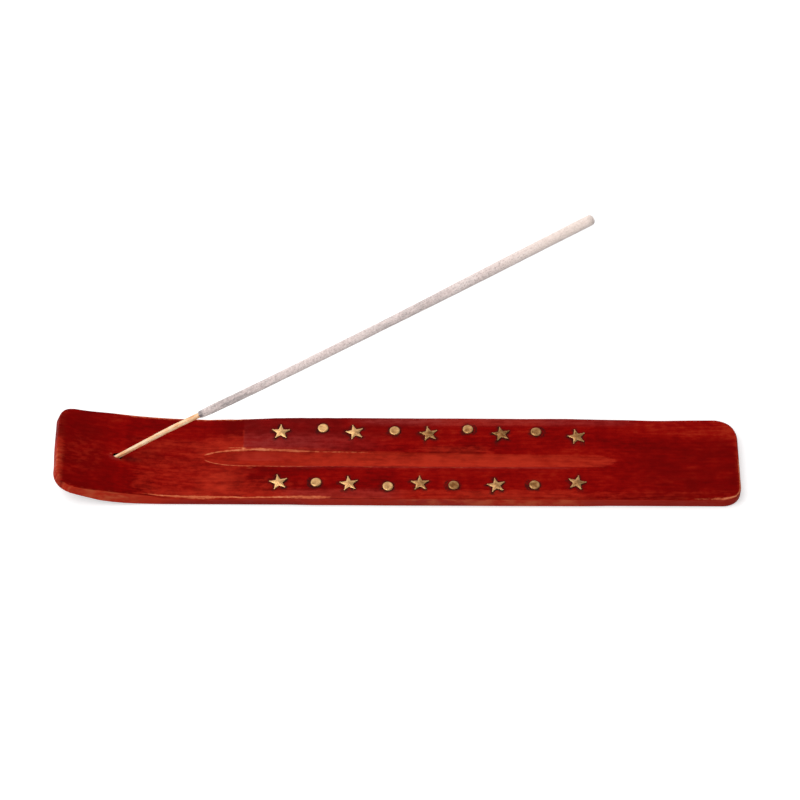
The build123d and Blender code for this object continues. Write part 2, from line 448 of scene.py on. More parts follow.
@dataclass(frozen=True)
class DyedWood:
    """Red dye and thin lacquer over fine straight grain, rubbed through where hands and sandpaper went; the
    board's marks also lay painted sheen, painted reflection, painted shade and painted shadow into its
    colour.
    """

    slot: Slot = Slot.WOOD
    deep: Colour = (0.145, 0.0001, 0.0001)
    red: Colour = (0.235, 0.0003, 0.0002)
    warm: Colour = (0.300, 0.0028, 0.0010)
    amber: Colour = (0.390, 0.0190, 0.0060)
    # Thin orange-red dye, also used as painted light: a painted reflection of the white floor on the sides
    # and painted light over the groove's shaded far wall.
    thin_dye_and_light: Colour = (0.500, 0.0280, 0.0110)
    # Pale tint: painted sheen and painted reflection on the top and sides, and dull lacquer on the groove's
    # rim and the torn lip.
    sheen_and_bloom: Colour = (0.300, 0.0280, 0.0245)
    bare: Colour = (0.660, 0.1350, 0.0560)
    pale: Colour = (0.880, 0.3500, 0.1750)
    # Near black: the dark gaps round the inlays, and painted shade in the hole and painted shadow beside the
    # stick and the inlays.
    gap: Colour = (0.022, 0.0060, 0.0050)

    def material(self) -> Material:
        """Makes the material.

        Returns:
            The dyed wood, which reads the board's marks.
        """
        graph = ShaderGraph(bpy.data.materials.new("dyed_wood"))
        blotches = graph.noise((26, 85, 85), detail=4, roughness=0.6)
        streaks = graph.noise((75, 1300, 1300), detail=4, roughness=0.6, twist=0.25)
        fibres = graph.noise((260, 5200, 5200), detail=2)
        bands = graph.noise((170, 24, 24), detail=2)
        mottle = graph.noise((320, 620, 620), detail=4, roughness=0.65)
        grit = graph.noise((700, 1500, 1500), detail=3, roughness=0.6)
        cloudy = graph.span(blotches, 0.3, 0.7, 0.0, 0.38)
        large = graph.math("ADD", cloudy, graph.span(bands, 0.3, 0.75, 0.0, 0.12))
        lines = graph.span(streaks, 0.3, 0.7, 0.0, 0.2)
        small = graph.math("ADD", lines, graph.span(mottle, 0.3, 0.7, 0.0, 0.26))
        warmth = graph.math("MULTIPLY", Mark.WARMTH, 0.35)
        dye = graph.math("ADD", graph.math("ADD", large, small), warmth)
        colour = graph.ramp(dye, ((0.2, self.deep), (0.5, self.red), (0.7, self.warm), (0.98, self.amber)))
        # Darker towards deep red on the toe, the heel and the far side, with the stick's painted shadow round
        # its foot.
        colour = graph.mix(Mark.DEPTH, colour, self.deep)
        # Thin dye, which also carries painted light: the sides' painted reflection of the white floor and
        # painted light over the groove's shaded far wall.
        scraped_and_lit = graph.math("ADD", Mark.SCRAPE, graph.span(small, 0.1, 0.4, -0.15, 0.12))
        thin = graph.math("MULTIPLY", scraped_and_lit, graph.span(Mark.SCRAPE, 0.0, 0.2))
        colour = graph.mix(thin, colour, self.thin_dye_and_light)
        # Pale tint: painted sheen for the lacquer's reflection of the light, a painted reflection of the
        # floor on the sides, and dull lacquer on the rim and the torn lip.
        haze = graph.math("MULTIPLY", Mark.HAZE, graph.span(small, 0.08, 0.4, 0.35, 1.0))
        colour = graph.mix(haze, colour, self.sheen_and_bloom)
        ends = graph.noise((220, 1900, 220), detail=3)
        hatch = graph.math("MULTIPLY", Mark.END_GRAIN, graph.span(ends, 0.35, 0.72))
        colour = graph.mix(graph.math("MULTIPLY", hatch, 0.65), colour, self.bare)
        rubbing = graph.math("ADD", Mark.WEAR, graph.span(grit, 0.3, 0.7, -0.22, 0.2))
        rubbed = graph.math("MULTIPLY", graph.span(rubbing, 0.1, 0.75), graph.span(Mark.WEAR, 0.02, 0.2))
        colour = graph.mix(rubbed, colour, graph.mix(graph.span(rubbing, 0.75, 1.25), self.bare, self.pale))
        flecks = graph.span(graph.specks((38, 55, 55)), 0.012, 0.022, 0.45, 0.0)
        colour = graph.mix(flecks, colour, self.pale)
        # Near black: the gaps round the inlays and the dots' crescents, painted shade in the hole, and
        # painted shadow beside the stick and to the lower left of each inlay.
        colour = graph.mix(Mark.RECESS, colour, self.gap)
        dryness = graph.math("ADD", rubbed, graph.math("MULTIPLY", streaks, 0.5))
        graph.set(Roughness=graph.span(dryness, 0.1, 1.0, 0.5, 0.7), Specular_IOR_Level=0.02)
        normal = graph.bump(fibres, 0.012 * MM, graph.bump(streaks, 0.03 * MM))
        graph.set(Base_Color=colour, Normal=graph.bump(mottle, 0.01 * MM, normal))
        return graph.owner


@dataclass(frozen=True)
class Brass:
    """Cut sheet brass, rubbed bright on its edges and dulled by age."""

    slot: Slot = Slot.BRASS
    bright: Colour = (0.88, 0.52, 0.225)
    dull: Colour = (0.265, 0.105, 0.030)
    stain: Colour = (0.13, 0.065, 0.025)

    def material(self) -> Material:
        """Makes the material.

        Returns:
            The brass, which reads each inlay's tarnish and painted reflection.
        """
        graph = ShaderGraph(bpy.data.materials.new("brass"))
        clouds = graph.noise((900, 900, 900), detail=4, roughness=0.6)
        scratches = graph.noise((1500, 9000, 1500), detail=2)
        # Dullness from each inlay's mark: its tarnish, kept low where the inlay is given a painted reflection
        # of the light.
        age = graph.math("ADD", Mark.TARNISH, graph.span(clouds, 0.3, 0.75, -0.2, 0.3))
        colour = graph.mix(age, self.bright, self.dull)
        aged = graph.span(Mark.TARNISH, 0.1, 0.8, 0.2, 0.8)
        pits = graph.math("MULTIPLY", graph.span(clouds, 0.58, 0.72), aged)
        colour = graph.mix(pits, colour, self.stain)
        graph.set(Base_Color=colour, Metallic=1.0)
        graph.set(Roughness=graph.span(age, 0.0, 1.0, 0.36, 0.55))
        normal = graph.bump(scratches, 0.012 * MM)
        graph.set(Normal=graph.bump(clouds, 0.02 * MM, normal))
        return graph.owner


@dataclass(frozen=True)
class Bamboo:
    """Split bamboo: pale straw with long fibres, and painted shade on the splint's underside."""

    slot: Slot = Slot.BAMBOO
    slope: float = 37.9
    straw: Colour = (0.98, 0.500, 0.235)
    light: Colour = (1.00, 0.755, 0.490)
    fibre: Colour = (0.40, 0.170, 0.055)

    def material(self) -> Material:
        """Makes the material.

        Returns:
            The bamboo, whose fibres follow the stick.
        """
        graph = ShaderGraph(bpy.data.materials.new("bamboo"))
        graph.turn(self.slope)
        fibres = graph.noise((60, 2300, 2300), detail=4, roughness=0.6)
        patches = graph.noise((260, 700, 700), detail=3, roughness=0.6)
        tone = graph.math(
            "ADD", graph.span(fibres, 0.3, 0.7, 0.0, 0.5), graph.span(patches, 0.3, 0.7, 0.0, 0.5)
        )
        colour = graph.ramp(tone, ((0.04, self.fibre), (0.34, self.straw), (0.76, self.light)))
        # Painted shade: the splint's underside is darkened towards fibre brown.
        low_side = graph.math("MULTIPLY", Mark.SOOT, graph.span(patches, 0.35, 0.65, 0.4, 1.0))
        graph.set(Base_Color=graph.mix(low_side, colour, self.fibre))
        graph.set(Roughness=graph.span(fibres, 0.3, 0.7, 0.5, 0.7), Specular_IOR_Level=0.3)
        graph.set(Normal=graph.bump(fibres, 0.05 * MM))
        return graph.owner


@dataclass(frozen=True)
class IncensePaste:
    """Rolled paste: pinkish grey powder with dark grains, greyer where hands and ash have been, with painted
    shade on its top side and painted light on its underside.
    """

    slot: Slot = Slot.PASTE
    slope: float = 37.9
    powder: Colour = (1.00, 0.910, 0.875)
    middling: Colour = (0.94, 0.815, 0.780)
    grey: Colour = (0.74, 0.630, 0.605)
    ash: Colour = (0.29, 0.250, 0.250)
    fresh: Colour = (1.00, 0.880, 0.800)
    fleck: Colour = (0.40, 0.310, 0.295)
    grain: Colour = (0.15, 0.120, 0.130)

    def material(self) -> Material:
        """Makes the material.

        Returns:
            The paste, which reads where it is sooty and where it is fresh.
        """
        graph = ShaderGraph(bpy.data.materials.new("incense_paste"))
        graph.turn(self.slope)
        patches = graph.noise((70, 320, 320), detail=3)
        rolls = graph.noise((230, 1100, 1100), detail=4, roughness=0.65)
        rings = graph.noise((1200, 330, 330), detail=3, roughness=0.6, twist=0.4)
        grains = graph.noise((2600, 4200, 4200), detail=2)
        specks = graph.noise((1150, 1450, 1450), detail=3, roughness=0.7)
        smears = graph.span(rolls, 0.3, 0.7, 0.0, 0.42)
        smears = graph.math("ADD", smears, graph.span(patches, 0.3, 0.7, 0.0, 0.3))
        tone = graph.math("ADD", smears, graph.span(rings, 0.3, 0.7, 0.0, 0.28))
        colour = graph.ramp(tone, ((0.15, self.grey), (0.45, self.middling), (0.8, self.powder)))
        colour = graph.mix(Mark.WEAR, colour, self.fresh)
        # Painted shade greys the top side and painted light pales the underside.
        colour = graph.mix(Mark.DEPTH, colour, self.grey)
        colour = graph.mix(Mark.HAZE, colour, self.powder)
        colour = graph.mix(graph.span(specks, 0.3, 0.48, 0.7, 0.0), colour, self.powder)
        rubbed = graph.span(Mark.WEAR, 0.2, 0.8, 1.0, 0.55)
        flecks = graph.math("MULTIPLY", graph.span(specks, 0.5, 0.68, 0.0, 0.42), rubbed)
        colour = graph.mix(flecks, colour, self.fleck)
        soot = graph.math("MULTIPLY", Mark.SOOT, graph.span(rolls, 0.4, 0.64, 0.05, 1.0))
        colour = graph.mix(soot, colour, self.ash)
        dots = graph.math("MULTIPLY", graph.span(grains, 0.56, 0.68), graph.span(rolls, 0.4, 0.6, 0.1, 0.6))
        dots = graph.math("MULTIPLY", dots, rubbed)
        torn = graph.math("MULTIPLY", Mark.RECESS, graph.span(rolls, 0.35, 0.55))
        colour = graph.mix(graph.math("MAXIMUM", dots, torn), colour, self.grain)
        graph.set(Base_Color=colour, Roughness=0.9, Diffuse_Roughness=1.0, Specular_IOR_Level=0.1)
        graph.set(Sheen_Weight=0.6, Sheen_Roughness=0.5, Sheen_Tint=(1.0, 0.9, 0.87))
        normal = graph.bump(rolls, 0.12 * MM)
        graph.set(Normal=graph.bump(grains, 0.06 * MM, normal))
        return graph.owner


@dataclass(frozen=True)
class PaleFloor:
    """Matt white floor that reads as white to the eye and keeps the shadow."""

    white: Colour = (0.66, 0.66, 0.66)
    lift: float = 0.56

    def material(self) -> Material:
        """Makes the material.

        Returns:
            The floor's white.
        """
        graph = ShaderGraph(bpy.data.materials.new("pale_floor"))
        graph.set(Base_Color=self.white, Roughness=1.0, Specular_IOR_Level=0.0)
        rays = graph.add("LightPath", {})
        seen = graph.math("ADD", rays["Is Camera Ray"], rays["Is Glossy Ray"])
        seen = graph.math("ADD", seen, rays["Is Transmission Ray"])
        graph.set(Emission_Color=(1.0, 1.0, 1.0), Emission_Strength=graph.math("MULTIPLY", seen, self.lift))
        return graph.owner


# Sub-assemblies


def finish_piece(piece: Piece, material: Material, body: Body, node: str) -> None:
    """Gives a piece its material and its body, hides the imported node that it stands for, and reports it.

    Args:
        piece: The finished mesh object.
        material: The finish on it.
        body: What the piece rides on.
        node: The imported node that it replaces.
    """
    piece.data.materials.clear()
    piece.data.materials.append(material)
    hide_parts(node)
    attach(piece, body.value)
    LOG.info("%s: %d faces, on %s", piece.name, len(piece.data.polygons), body.value)


@dataclass
class BoardForm:
    """The board's shape in millimetres: a cove, a shoulder, a bed and a groove over a swept-up sole."""

    half_length: float = 127.0
    half_width: float = 19.0
    bed: float = 4.5
    toe_lift: float = 7.8
    toe_thickness: float = 4.4
    sole_arris: float = 0.7
    sole_sweep: float = 40.5
    cove_reach: float = 56.5
    cove_dip: float = 0.85
    shoulder_radius: float = 160.0
    groove_start: Triple = (-59.0, 0.0, 2.4)
    groove_stop: Triple = (71.0, -1.7, 3.65)
    groove_nose: float = 4.9
    groove_wheel: float = 65.0
    groove_tip: float = -77.0
    inlay_stretch: tuple[float, float] = (-48.0, 70.0)
    inlay_row: float = 12.1
    tool_line: float = -57.6
    hole: tuple[float, float] = (-103.9, -1.5)
    hole_reach: tuple[float, float] = (2.36, 1.45)

    def __post_init__(self) -> None:
        """Works out the arcs of the side view."""
        toe_x = -self.half_length
        self.sole_radius = (self.sole_sweep**2 + self.toe_lift**2) / (2 * self.toe_lift)
        lean = np.arcsin(self.sole_sweep / self.sole_radius)
        toe_bottom = toe_x - self.sole_arris * (np.sin(lean) + np.cos(lean) - 1)
        self.sole_start = toe_bottom + self.sole_sweep
        toe_top = toe_bottom + np.sin(lean) * self.toe_thickness
        self.cove_x = toe_x + self.cove_reach
        self.cove_z = self.bed - self.cove_dip
        lift = self.toe_lift + np.cos(lean) * self.toe_thickness - self.cove_z
        self.cove_radius = ((self.cove_x - toe_top) ** 2 + lift**2) / (2 * lift)
        both = self.cove_radius + self.shoulder_radius
        self.shoulder_x = self.cove_x + np.sqrt(2 * self.cove_dip * both - self.cove_dip**2)
        self.cove_end = self.cove_x + (self.shoulder_x - self.cove_x) * self.cove_radius / both

    def top(self, x: Array) -> Array:
        """Height of the cove, the shoulder and the bed.

        Args:
            x: Places along the board.

        Returns:
            The height at each place.
        """
        fall = np.sqrt(np.maximum(self.cove_radius**2 - (x - self.cove_x) ** 2, 0))
        cove = self.cove_z + self.cove_radius - fall
        drop = np.sqrt(np.maximum(self.shoulder_radius**2 - (x - self.shoulder_x) ** 2, 0))
        shoulder = self.bed - self.shoulder_radius + drop
        return np.where(x < self.cove_end, cove, np.where(x < self.shoulder_x, shoulder, self.bed))

    def sole(self, x: Array) -> Array:
        """Height of the sole at some places along the board."""
        reach = np.minimum(x - self.sole_start, 0)
        return self.sole_radius - np.sqrt(self.sole_radius**2 - reach**2)

    def groove_line(self, x: Array) -> tuple[Array, Array]:
        """Bottom line of the groove.

        Args:
            x: Places along the board.

        Returns:
            The line's place across the board and its height, at each place.
        """
        (start, middle, bottom), (stop, far_middle, far_bottom) = self.groove_start, self.groove_stop
        share = (x - start) / (stop - start)
        return middle + share * (far_middle - middle), bottom + share * (far_bottom - bottom)

    def groove(self, x: Array, y: Array) -> Array:
        """Height of the round-nosed wheel's cut, which runs out on the wheel's rim at both ends.

        Args:
            x: Places along the board.
            y: Places across the board.

        Returns:
            The height at each place.
        """
        middle, bottom = self.groove_line(x)
        nose = np.sqrt(np.maximum(self.groove_nose**2 - (y - middle) ** 2, 0))
        past = np.maximum(np.maximum(self.groove_start[0] - x, x - self.groove_stop[0]), 0)
        rim = self.groove_wheel - self.groove_nose + nose
        return bottom + self.groove_wheel - np.sqrt(np.maximum(rim**2 - past**2, 0))

    def inside_groove(self, x: Array, y: Array) -> Array:
        """About how far some places lie inside the groove's rim, less than 0 outside it.

        Args:
            x: Places along the board.
            y: Places across the board.

        Returns:
            The distances.
        """
        step, least_slope = 0.05, 0.08

        def depth(at_x: Array, at_y: Array) -> Array:
            """Depth of the groove below the bed."""
            return self.top(at_x) - self.groove(at_x, at_y)

        slope_x = (depth(x + step, y) - depth(x - step, y)) / (2 * step)
        slope_y = (depth(x, y + step) - depth(x, y - step)) / (2 * step)
        return depth(x, y) / np.maximum(np.hypot(slope_x, slope_y), least_slope)

    def torn_lip(self, x: Array, y: Array) -> Array:
        """How far some places lie in the torn lip on the hole's near left side.

        Args:
            x: Places along the board.
            y: Places across the board.

        Returns:
            One value for each place, 1 on the rim of the hole.
        """
        lengthwise = (x - self.hole[0]) / self.hole_reach[0]
        across = (y - self.hole[1]) / self.hole_reach[1]
        return spot(np.hypot(lengthwise, across), 1.0, 0.3) * rise(-0.7 * lengthwise - across, 0.5, 1.0)


@dataclass(frozen=True)
class Seat:
    """Where an inlay lies: its middle, the height of its top, and the way its first point turns."""

    middle: Vector
    top: float
    turn: float

    @classmethod
    def of_node(cls, node: str, points: int) -> "Seat":
        """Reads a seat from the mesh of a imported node.

        Args:
            node: Name of the inlay's node.
            points: Number of points of the star, or 1 on a dot.

        Returns:
            The inlay's seat.
        """
        places = np.unique(np.round(places_of(frame["nodes"][node].data), 7), axis=0)
        floor, top = places[:, 2].min(), places[:, 2].max()
        rim = places[places[:, 2] < floor + MERGE][:, :2]
        middle = rim.mean(axis=0)
        reach = (rim - middle) @ (1, 1j)
        wave = np.sum(np.abs(reach) ** 8 * np.exp(1j * points * np.angle(reach)))
        return cls(Vector((*middle, 0)), float(top), float(np.angle(wave)) / points)


@dataclass
class BoardPoints:
    """The vertices of the board's mesh, in millimetres; x, y and z are columns of their places."""

    form: BoardForm
    mesh: Mesh

    def __post_init__(self) -> None:
        """Measures the vertices."""
        self.places = places_of(self.mesh) / MM
        self.x, self.y, self.z = self.places.T
        self.lean_x, self.lean_y, self.facing = normals_of(self.mesh).T


@dataclass
class Sanding(BoardPoints):
    """Hand work that moves the board's vertices; each step changes x, y and z, and so the places, in turn."""

    settle_reach: float = 0.12
    settle_margin: float = 0.9

    def sand(self) -> None:
        """Leaves the board as uneven as one that was sanded by hand."""
        for step in (self.settle, self.ease_arrises, self.swell_sides, self.trim_ends, self.warp):
            step()
        move_to(self.mesh, self.places * MM)

    def settle(self) -> None:
        """Lays the flat facets of the top back on the true arcs."""
        level = np.minimum(self.form.top(self.x), self.form.groove(self.x, self.y))
        near = (np.abs(self.z - level) < self.settle_reach) & (self.facing > 0.5)
        near &= np.abs(self.y) < self.form.half_width - self.settle_margin
        self.z[near] = level[near]

    def ease_arrises(self) -> None:
        """Eases the upper arrises, most where they were knocked."""
        x, y, z = self.x, self.y, self.z
        wobble = self.uneven(11, 4.2)
        knocks = np.maximum(self.uneven(4.5, 6.6), 0) * stretch(x, -72, -22, 6)
        front = 0.1 + 0.42 * spot(x, -75, 14) + 0.45 * spot(x, -34, 9) + 0.2 * rise(x, 100, 124)
        back = 0.25 * spot(x, -52, 8) + 0.3 * spot(x, 97, 9) + 0.4 * stretch(x, -100, -62, 8)
        depth = np.where(y < 0, front, back) + 0.1 * np.maximum(wobble, 0) + 0.2 * knocks
        corner = np.hypot(self.form.half_width - np.abs(y), self.form.top(x) - z)
        push = 0.7 * depth * spot(corner, 0, 1.3)
        y -= np.sign(y) * push
        z -= push

    def swell_sides(self) -> None:
        """Lets the sides swell, and lean in at the toe and the heel."""
        x, y, z = self.x, self.y, self.z
        far_swell = along(x, (0.35, -42, 62, 20), (0.45, -100, -62, 8))
        y += far_swell * rise(y, 14, 18)
        lean = 0.5 * rise(x, 108, 127) + along(x, (0.45, -110, -64, 8), (0.35, -110, -92, 6))
        y += lean * self.up_side() * rise(-y, 13, 17)
        near_swell = 0.3 * stretch(x, -28, 66, 18) + 0.35 * rise(x, -90, -104)
        y -= near_swell * rise(-y, 15, 18) * rise(z, 4.2, 2)

    def trim_ends(self) -> None:
        """Draws the toe in and fills out the corners of the heel."""
        x, y = self.x, self.y
        near = 0.85 * rise(x, -110, -120) * (1 - 0.45 * rise(x, -121, -126.5))
        far = 0.55 * rise(x, -106, -118) * (1 - 1.3 * rise(x, -120, -126))
        y *= 1 - np.where(y < 0, near, far) / self.form.half_width
        x -= 0.35 * rise(x, -108, -122) + 0.15 * rise(x, 105, 122)
        x += 0.35 * spot(y, -8.5, 5) * rise(x, -120, -126.5)
        y += 0.12 * spot(x, -124, 4) * rise(y, 11, 16)
        near_heel = (0.12 + 0.35 * self.up_side()) * spot(np.hypot(x - 125, y + 17), 0, 3)
        far_heel = 0.15 * spot(np.hypot(x - 124, y - 16), 0, 3)
        x += near_heel + far_heel
        y += far_heel - near_heel

    def warp(self) -> None:
        """Warps the top and the sides a little, and lifts the torn lip at the hole."""
        x, y, z = self.x, self.y, self.z
        waves = rough_field(self.places, (38, 15, 400), 1.7)
        z += 0.05 * waves * rise(z, self.form.bed - 2.6, self.form.bed - 1.5)
        y += 0.1 * self.uneven(30, 8.1)
        top = self.form.top(x)
        lip = self.form.torn_lip(x, y) * rise(z, top - 0.3, top - 0.1)
        x += 0.75 * lip
        z += 0.5 * lip

    def uneven(self, grain: float, seed: float) -> Array:
        """Smooth random values along the board, from -1 to 1."""
        return rough_field(self.places * (1, 0, 0), (grain, grain, grain), seed)

    def up_side(self) -> Array:
        """How far up the board's side each vertex lies: 0 by the sole, 1 by the top."""
        return rise(self.z - self.form.sole(self.x), 1.5, 4)


@dataclass
class BoardMarks(BoardPoints):
    """What hands, tools and dye left on the board, and the light and shade painted onto it, as values from 0
    to 1 for each vertex.

    A stretch is given as its strength, its two ends along the board and the length of its fades.
    """

    front_wear: tuple[Stretch, ...] = ((0.72, -88, -68, 8), (0.7, -62, -28, 5), (0.1, -52, -38, 4))
    back_rim: tuple[Stretch, ...] = ((0.88, -71, -50, 3), (0.8, -49, -34, 6), (0.35, -30, -14, 6))
    front_rim: tuple[Stretch, ...] = ((0.85, -74, -64, 2), (0.62, -62, -38, 6), (0.15, -30, 40, 8))
    far_darkening: tuple[Stretch, ...] = ((0.3, -95, -60, 12), (0.9, -58, -25, 12))
    # Shift by which the painted shadow round each inlay reaches out to its lower left.
    smudge: Vector = field(default_factory=lambda: Vector((0.6, 0.35, 0.0)))
    loose_dots: dict[str, int] = field(
        default_factory=lambda: {
            "back_dot_3": 1,
            "back_dot_4": 1,
            "front_dot_1": -1,
            "front_dot_3": -1,
            "front_dot_4": -1,
        }
    )

    def __post_init__(self) -> None:
        """Measures the vertices, and works out what several marks share."""
        super().__post_init__()
        self.patch = rough_field(self.places, (5, 2.0, 30), 3.3)
        self.bite = rough_field(self.places, (2.4, 1.0, 30), 5.9)
        self.streaky = rough_field(self.places, (9, 0.6, 30), 2.2)
        self.inside = self.form.inside_groove(self.x, self.y)
        self.middle, bottom = self.form.groove_line(self.x)
        drop = np.clip(self.form.bed - bottom, 0.3, None)
        self.across = (self.y - self.middle) / np.sqrt(drop * (2 * self.form.groove_nose - drop))
        self.behind = self.across > 0
        self.toeward = rise(self.x, self.form.tool_line + 0.2, self.form.tool_line - 0.2)
        self.upright = rise(np.abs(self.lean_y) + 0.3 * (self.facing < 0), 0.75, 0.95)
        self.low_side = self.upright * stretch(self.x, -80, -40, 10) * rise(self.z, 3.2, 2.0)
        self.arris = self.eased_edge()

    def leave(self) -> None:
        """Stores every mark on the mesh."""
        for mark, values in (
            (Mark.WEAR, self.wear()),
            (Mark.DEPTH, self.depth()),
            (Mark.SCRAPE, self.scrape()),
            (Mark.WARMTH, self.warmth()),
            (Mark.HAZE, self.haze()),
            (Mark.END_GRAIN, self.end_grain()),
            (Mark.RECESS, self.recess()),
        ):
            leave_mark(self.mesh, mark, values)

    def blot(self, x: float, y: float, length: float, width: float) -> Array:
        """A soft blot on the board, 1 in its middle."""
        return spot(self.x, x, length) * spot(self.y, y, width)

    def eased_edge(self) -> Array:
        """How far each vertex lies on the top's eased arris, which is slimmer at the toe's near side.

        Returns:
            One value for each vertex.
        """
        slim, heelward = stretch(self.x, -95, -62, 6), rise(self.x, 90, 105)
        near = np.abs(self.facing - 0.80 - 0.05 * slim + 0.1 * heelward)
        near /= 0.17 - 0.05 * slim + 0.06 * heelward
        turned = np.where(self.y < 0, near, np.abs(self.facing - 0.82) / 0.2)
        outer = ((np.abs(self.y) > 16.2) & (np.abs(self.lean_y) > 0.15)) | (self.x > 123)
        return np.clip(1.2 - turned, 0, 1) * outer

    def wear(self) -> Array:
        """Where the dye is rubbed through: on the arrises, the groove's rim, the toe's rim and the hole.

        Returns:
            One value for each vertex.
        """
        x, y, facing = self.x, self.y, self.facing
        front = 0.12 + along(x, *self.front_wear) - 0.17 * spot(x, -32, 4) - 0.1 * spot(x, -66, 7)
        front += 0.3 * rise(x, 106, 116) + 0.6 * rise(x, 114, 122)
        back = 0.1 + 0.7 * stretch(x, -103, -58, 5)
        edges = self.arris * np.where(y < 0, front, back) * (0.95 + 0.2 * self.patch + 0.12 * self.bite)
        far_rub = 0.75 * spot(facing, 0.62, 0.16) * rise(y, 17, 18) * stretch(x, -104, -58, 5)
        toe_rim = np.clip(1.2 - np.abs(facing - 0.75) / 0.2, 0, 1) * (x < -124.5) * stretch(y, -15, -3, 6)
        toe_rim *= 0.4 * (0.8 + 0.5 * self.bite)
        nick = self.blot(self.form.tool_line, 4.4, 0.7, 0.6)
        torn = 0.55 * self.blot(self.form.hole[0] - 2.5, self.form.hole[1] + 0.9, 0.5, 0.5)
        return np.maximum.reduce([edges, self.groove_rim(), far_rub, toe_rim, nick, torn]) * (facing > 0.2)

    def groove_rim(self) -> Array:
        """Where the groove's rim is rubbed through, a little astray of the rim as by hand.

        Returns:
            One value for each vertex.
        """
        x, behind = self.x, self.behind
        back = 0.1 + along(x, *self.back_rim) - 0.15 * spot(x, -69, 3)
        front = 0.1 + along(x, *self.front_rim)
        width = 0.25 + 0.1 * behind * stretch(x, -60, -38, 6)
        astray = np.where(behind, 0.5 * rise(x, -60, -33) - 0.1, 0.2 * rise(x, -58, -64))
        rim = spot((self.inside - astray) / width, 0, 1) * np.where(behind, back, front)
        rim *= rise(x, -74.5, -71.5) * rise(np.abs(self.y - self.middle), 0.6, 1.5)
        return rim * (self.facing > 0.4) * (0.9 + 0.2 * self.patch + 0.2 * self.bite)

    def depth(self) -> Array:
        """Where the colour is darker: on the toe, the heel and the far side, and as the stick's painted
        shadow round its foot.

        Returns:
            One value for each vertex.
        """
        x, y = self.x, self.y
        toe = 0.8 * rise(x, -96, -116)
        heel = 0.64 * rise(x, 78, 100) * rise(y, 13, 5)
        far_side = rise(y, 7.5, 13) * along(x, *self.far_darkening)
        far_middle = 0.5 * rise(y, 7.5, 11) * stretch(x, -30, 10, 15)
        # Painted shadow of the stick round its foot.
        foot = 0.55 * self.blot(-95, 1, 7, 6) + 0.35 * stretch(x, -98, -76, 8) * spot(y, 6.5, 4)
        darkest = np.maximum.reduce([toe, heel, far_side, far_middle, foot])
        return darkest * (self.facing > 0.8) * (0.85 + 0.6 * self.patch)

    def scrape(self) -> Array:
        """Where the dye is thin: on sanded bands and flames, the groove and both ends; and painted light: the
        sides painted lighter as a painted reflection of the white floor, and the groove painted lighter over
        its shaded far wall.

        Returns:
            One value for each vertex.
        """
        x, y = self.x, self.y
        # Painted reflection of the white floor: the upright sides are painted lighter.
        sides = 0.95 + 0.15 * rise(x, -70, -100) - 0.35 * rise(x, 82, 102)
        sides = self.upright * sides - 0.6 * self.low_side
        heel = 0.4 * rise(x, 125, 126.8)
        toe = 0.14 * stretch(x, -121, -112, 5) * spot(y, -2, 12)
        toe_rim = 0.6 * rise(x, -122.5, -125.5) * stretch(y, -16, 0, 6)
        score = 0.4 * spot(x, self.form.tool_line, 0.5) * stretch(y, 5, 12, 2)
        return np.maximum.reduce([self.brushed(), sides, self.groove_floor(), heel, toe, toe_rim, score])

    def brushed(self) -> Array:
        """Where sandpaper thinned the dye on the top, in streaks.

        Returns:
            One value for each vertex.
        """
        x, y, inside = self.x, self.y, self.inside
        flames = 0.4 * self.blot(-62, 7, 9, 5) * self.toeward + 0.65 * self.blot(-66, -11, 6, 6)
        flames += 0.4 * self.blot(20, 4.2, 14, 2.5)
        shaded = (1 - self.toeward) * (y > 0)
        flames += 0.3 * stretch(x, -92, -60, 14) * (1 - shaded) * rise(y, 11, 6)
        near_flame = 0.4 * self.blot(-52, -14, 16, 5)
        near_band = 0.62 - 0.18 * stretch(x, -25, 0, 15) - 0.4 * rise(x, 55, 75)
        near_band *= rise(-y, 13.8, 16.2) * rise(x, -100, -86)
        near_band += 0.5 * self.arris * (y < 0) * stretch(x, -24, 0, 6)
        far_band = 0.5 * rise(y, 14.2, 17) * stretch(x, 14, 50, 10)
        ledge = 0.75 * spot(inside, -0.9, 1.6) * stretch(x, -72, -34, 14)
        ledge += 0.4 * spot(inside, -0.6, 1.0) * stretch(x, 14, 30, 10)
        thinnest = np.maximum.reduce([flames, near_flame, near_band, far_band, ledge * self.behind])
        return thinnest * (0.75 + 0.3 * self.patch + 0.4 * self.streaky)

    def groove_floor(self) -> Array:
        """Where the dye is thin inside the groove, which fades out at its heel end; the lighter colour also
        paints light over the far wall, which the lamp leaves in shade.

        Returns:
            One value for each vertex.
        """
        x, inside = self.x, self.inside
        back = rise(inside + 0.45 * rise(x, 46, 64), -0.5, 0.8)
        front = rise(inside, -0.4, 0.4 + 1.8 * rise(x, -40, 10))
        floor = np.where(self.behind, back, front)
        floor *= 0.5 + 0.3 * rise(x, -60, -20) + 0.2 * rise(self.across, 0.2, -0.6)
        floor += 0.2 * stretch(x, 12, 46, 10) * (inside > 0)
        floor += 0.4 * spot(x, -51, 8) * self.behind * (inside > 0.8)
        floor *= 1 - rise(x, 58, 74) * np.clip(0.2 - 0.8 * self.streaky, 0, 0.6)
        return floor * (0.9 + 0.35 * self.patch)

    def warmth(self) -> Array:
        """Where the dye runs to orange: at the far side of the heel.

        Returns:
            One value for each vertex.
        """
        heel = rise(self.x, 76, 98) * rise(self.y, 6, 15)
        return np.maximum(heel, 0.4 * stretch(self.x, 50, 64, 8) * rise(self.y, 4, 9))

    def haze(self) -> Array:
        """Where the pale tint goes: painted sheen, standing in for the lacquer's reflection of the light,
        past the tool line and on both long edges; a painted reflection of the white floor on the sides; and
        dull lacquer on the groove's rim, its back wall and the torn lip at the hole.

        Returns:
            One value for each vertex.
        """
        x, y, inside = self.x, self.y, self.inside
